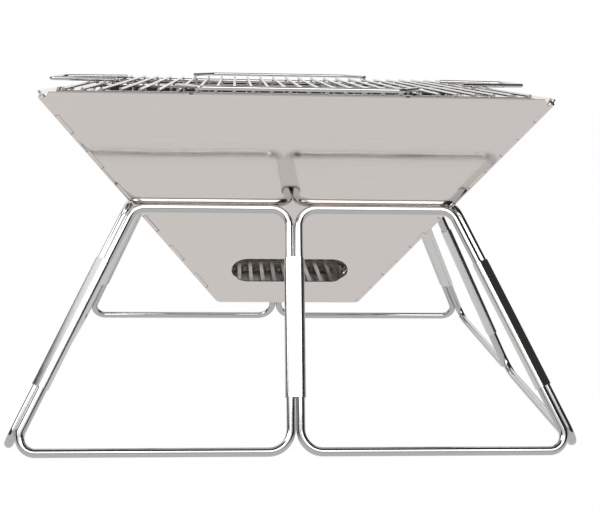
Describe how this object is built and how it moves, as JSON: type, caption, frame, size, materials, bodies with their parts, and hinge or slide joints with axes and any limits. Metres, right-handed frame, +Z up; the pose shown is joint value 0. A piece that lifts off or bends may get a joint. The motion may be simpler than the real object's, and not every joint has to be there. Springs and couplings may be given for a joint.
{
  "type": "camping grill",
  "caption": "Folding camping grill: a four-sided sheet bowl standing in a ring of bent rod loops, with a grate and a wire cooking net.",
  "frame": {"origin": "on the ground under the middle of the bowl", "axes": "+X to the right seen from the front, +Y to the back, +Z up"},
  "size_m": [0.5202, 0.5202, 0.3284],
  "materials": {
    "rod": "bright plated round rod",
    "sleeve": "satin sheet",
    "bowl_sheet": "polished stainless sheet",
    "pin": "bare steel",
    "hearth": "dull stainless",
    "net": "bright plated wire"
  },
  "bodies": {
    "front_middle_sleeve": {"front_middle_sleeve": "sleeve"},
    "front_left_leg_loop": {"front_left_leg_loop": "rod"},
    "front_left_corner_sleeve": {"front_left_corner_sleeve": "sleeve"},
    "left_front_leg_loop": {"left_front_leg_loop": "rod"},
    "left_middle_sleeve": {"left_middle_sleeve": "sleeve"},
    "left_back_leg_loop": {"left_back_leg_loop": "rod"},
    "back_left_corner_sleeve": {"back_left_corner_sleeve": "sleeve"},
    "back_left_leg_loop": {"back_left_leg_loop": "rod"},
    "back_middle_sleeve": {"back_middle_sleeve": "sleeve"},
    "front_right_leg_loop": {"front_right_leg_loop": "rod"},
    "front_right_corner_sleeve": {"front_right_corner_sleeve": "sleeve"},
    "right_front_leg_loop": {"right_front_leg_loop": "rod"},
    "right_middle_sleeve": {"right_middle_sleeve": "sleeve"},
    "right_back_leg_loop": {"right_back_leg_loop": "rod"},
    "back_right_corner_sleeve": {"back_right_corner_sleeve": "sleeve"},
    "back_right_leg_loop": {"back_right_leg_loop": "rod"},
    "bowl_front": {"front_panel": "bowl_sheet", "front_left_hinge_pin": "pin", "front_right_hinge_pin": "pin"},
    "bowl_left": {"left_panel": "bowl_sheet"},
    "bowl_right": {"right_panel": "bowl_sheet", "back_right_hinge_pin": "pin"},
    "bowl_back": {"back_panel": "bowl_sheet", "back_left_hinge_pin": "pin"},
    "fire_tray": {"ash_plate": "hearth", "charcoal_grate": "hearth"},
    "cooking_net": {"net_wires": "net", "back_net_bar": "net", "middle_net_bar": "net", "front_net_bar": "net", "front_net_handle": "net", "back_net_handle": "net", "right_net_handle": "net", "left_net_handle": "net"}
  },
  "joints": [
    {"name": "bowl_lift", "type": "slide", "parent": "front_middle_sleeve", "child": "bowl_front", "axis": [0, 0, 1], "range_m": [0, 0.45]},
    {"name": "front_left_leg_loop_pivot", "type": "hinge", "parent": "front_middle_sleeve", "child": "front_left_leg_loop", "pos_m": [-0.0043, -0.256, 0.0041], "axis": [0, 0.4421, 0.897], "range_deg": [0, 42.02]},
    {"name": "front_left_corner_sleeve_pivot", "type": "hinge", "parent": "front_left_leg_loop", "child": "front_left_corner_sleeve", "pos_m": [-0.24992, -0.256, 0.0041], "axis": [0.4043, 0.4043, 0.8204], "range_deg": [-46.22, 0]},
    {"name": "left_front_leg_loop_pivot", "type": "hinge", "parent": "front_left_corner_sleeve", "child": "left_front_leg_loop", "pos_m": [-0.256, -0.24992, 0.0041], "axis": [0.4043, 0.4043, 0.8204], "range_deg": [-46.22, 0]},
    {"name": "left_middle_sleeve_pivot", "type": "hinge", "parent": "left_front_leg_loop", "child": "left_middle_sleeve", "pos_m": [-0.256, -0.0043, 0.0041], "axis": [0.4421, 0, 0.897], "range_deg": [0, 42.02]},
    {"name": "left_back_leg_loop_pivot", "type": "hinge", "parent": "left_middle_sleeve", "child": "left_back_leg_loop", "pos_m": [-0.256, 0.0043, 0.0041], "axis": [0.4421, 0, 0.897], "range_deg": [0, 42.02]},
    {"name": "back_left_corner_sleeve_pivot", "type": "hinge", "parent": "left_back_leg_loop", "child": "back_left_corner_sleeve", "pos_m": [-0.256, 0.24992, 0.0041], "axis": [0.4043, -0.4043, 0.8204], "range_deg": [-46.22, 0]},
    {"name": "back_left_leg_loop_pivot", "type": "hinge", "parent": "back_left_corner_sleeve", "child": "back_left_leg_loop", "pos_m": [-0.24992, 0.256, 0.0041], "axis": [0.4043, -0.4043, 0.8204], "range_deg": [-46.22, 0]},
    {"name": "back_middle_sleeve_pivot", "type": "hinge", "parent": "back_left_leg_loop", "child": "back_middle_sleeve", "pos_m": [-0.0043, 0.256, 0.0041], "axis": [0, -0.4421, 0.897], "range_deg": [0, 42.02]},
    {"name": "front_right_leg_loop_pivot", "type": "hinge", "parent": "front_middle_sleeve", "child": "front_right_leg_loop", "pos_m": [0.0043, -0.256, 0.0041], "axis": [0, 0.4421, 0.897], "range_deg": [-42.02, 0]},
    {"name": "front_right_corner_sleeve_pivot", "type": "hinge", "parent": "front_right_leg_loop", "child": "front_right_corner_sleeve", "pos_m": [0.24992, -0.256, 0.0041], "axis": [-0.4043, 0.4043, 0.8204], "range_deg": [0, 46.22]},
    {"name": "right_front_leg_loop_pivot", "type": "hinge", "parent": "front_right_corner_sleeve", "child": "right_front_leg_loop", "pos_m": [0.256, -0.24992, 0.0041], "axis": [-0.4043, 0.4043, 0.8204], "range_deg": [0, 46.22]},
    {"name": "right_middle_sleeve_pivot", "type": "hinge", "parent": "right_front_leg_loop", "child": "right_middle_sleeve", "pos_m": [0.256, -0.0043, 0.0041], "axis": [-0.4421, 0, 0.897], "range_deg": [-42.02, 0]},
    {"name": "right_back_leg_loop_pivot", "type": "hinge", "parent": "right_middle_sleeve", "child": "right_back_leg_loop", "pos_m": [0.256, 0.0043, 0.0041], "axis": [-0.4421, 0, 0.897], "range_deg": [-42.02, 0]},
    {"name": "back_right_corner_sleeve_pivot", "type": "hinge", "parent": "right_back_leg_loop", "child": "back_right_corner_sleeve", "pos_m": [0.256, 0.24992, 0.0041], "axis": [-0.4043, -0.4043, 0.8204], "range_deg": [0, 46.22]},
    {"name": "back_right_leg_loop_pivot", "type": "hinge", "parent": "back_right_corner_sleeve", "child": "back_right_leg_loop", "pos_m": [0.24992, 0.256, 0.0041], "axis": [-0.4043, -0.4043, 0.8204], "range_deg": [0, 46.22]},
    {"name": "left_panel_hinge", "type": "hinge", "parent": "bowl_front", "child": "bowl_left", "pos_m": [-0.07168, -0.07168, 0.10068], "axis": [-0.5003, -0.5003, 0.7066], "range_deg": [-109.02, 0]},
    {"name": "right_panel_hinge", "type": "hinge", "parent": "bowl_front", "child": "bowl_right", "pos_m": [0.07168, -0.07168, 0.10068], "axis": [0.5003, -0.5003, 0.7066], "range_deg": [-69.52, 0]},
    {"name": "back_panel_hinge", "type": "hinge", "parent": "bowl_right", "child": "bowl_back", "pos_m": [0.07168, 0.07168, 0.10068], "axis": [0.5003, 0.5003, 0.7066], "range_deg": [0, 85.02]},
    {"name": "tray_lift", "type": "slide", "parent": "bowl_front", "child": "fire_tray", "axis": [0, 0, 1], "range_m": [0, 1.0005]},
    {"name": "net_lift", "type": "slide", "parent": "fire_tray", "child": "cooking_net", "axis": [0, 0, 1], "range_m": [0, 0.12]}
  ],
  "couplings": [
    {"joint": "front_left_leg_loop_pivot", "follows": "bowl_lift", "rad_per_m": 1.629},
    {"joint": "front_left_corner_sleeve_pivot", "follows": "bowl_lift", "rad_per_m": -1.7919},
    {"joint": "left_front_leg_loop_pivot", "follows": "bowl_lift", "rad_per_m": -1.7919},
    {"joint": "left_middle_sleeve_pivot", "follows": "bowl_lift", "rad_per_m": 1.629},
    {"joint": "left_back_leg_loop_pivot", "follows": "bowl_lift", "rad_per_m": 1.629},
    {"joint": "back_left_corner_sleeve_pivot", "follows": "bowl_lift", "rad_per_m": -1.7919},
    {"joint": "back_left_leg_loop_pivot", "follows": "bowl_lift", "rad_per_m": -1.7919},
    {"joint": "back_middle_sleeve_pivot", "follows": "bowl_lift", "rad_per_m": 1.629},
    {"joint": "front_right_leg_loop_pivot", "follows": "bowl_lift", "rad_per_m": -1.629},
    {"joint": "front_right_corner_sleeve_pivot", "follows": "bowl_lift", "rad_per_m": 1.7919},
    {"joint": "right_front_leg_loop_pivot", "follows": "bowl_lift", "rad_per_m": 1.7919},
    {"joint": "right_middle_sleeve_pivot", "follows": "bowl_lift", "rad_per_m": -1.629},
    {"joint": "right_back_leg_loop_pivot", "follows": "bowl_lift", "rad_per_m": -1.629},
    {"joint": "back_right_corner_sleeve_pivot", "follows": "bowl_lift", "rad_per_m": 1.7919},
    {"joint": "back_right_leg_loop_pivot", "follows": "bowl_lift", "rad_per_m": 1.7919},
    {"joint": "left_panel_hinge", "follows": "bowl_lift", "rad_per_m": -4.2276},
    {"joint": "right_panel_hinge", "follows": "bowl_lift", "rad_per_m": -2.6956},
    {"joint": "back_panel_hinge", "follows": "bowl_lift", "rad_per_m": 3.2967},
    {"joint": "tray_lift", "follows": "bowl_lift", "ratio": 2.2222}
  ]
}
